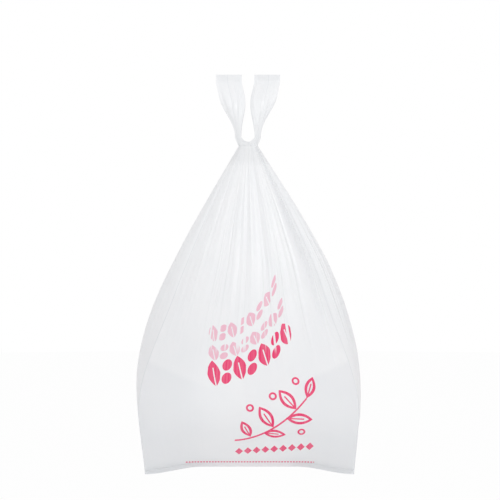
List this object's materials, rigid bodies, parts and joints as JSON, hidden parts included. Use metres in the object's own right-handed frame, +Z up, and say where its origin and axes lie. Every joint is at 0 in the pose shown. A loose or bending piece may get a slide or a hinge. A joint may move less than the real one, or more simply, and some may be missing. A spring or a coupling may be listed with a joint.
{
  "type": "plastic carrier bag",
  "caption": "Thin white vest-style carrier bag with side gussets, gathered at the neck below two handle loops, puffed with air above a flat bottom seal.",
  "frame": {"origin": "middle of the gathered neck, where the bag is held below its handle loops", "axes": "+Z up from the bottom seal to the handle loops, -Y towards the printed front panel, +X to the right of the front panel"},
  "size_m": [0.3274, 0.2064, 0.5828],
  "materials": {
    "film": "thin blown film, soft sheen, slightly see-through"
  },
  "bodies": {
    "root": {"bag_film": "film"}
  },
  "joints": []
}
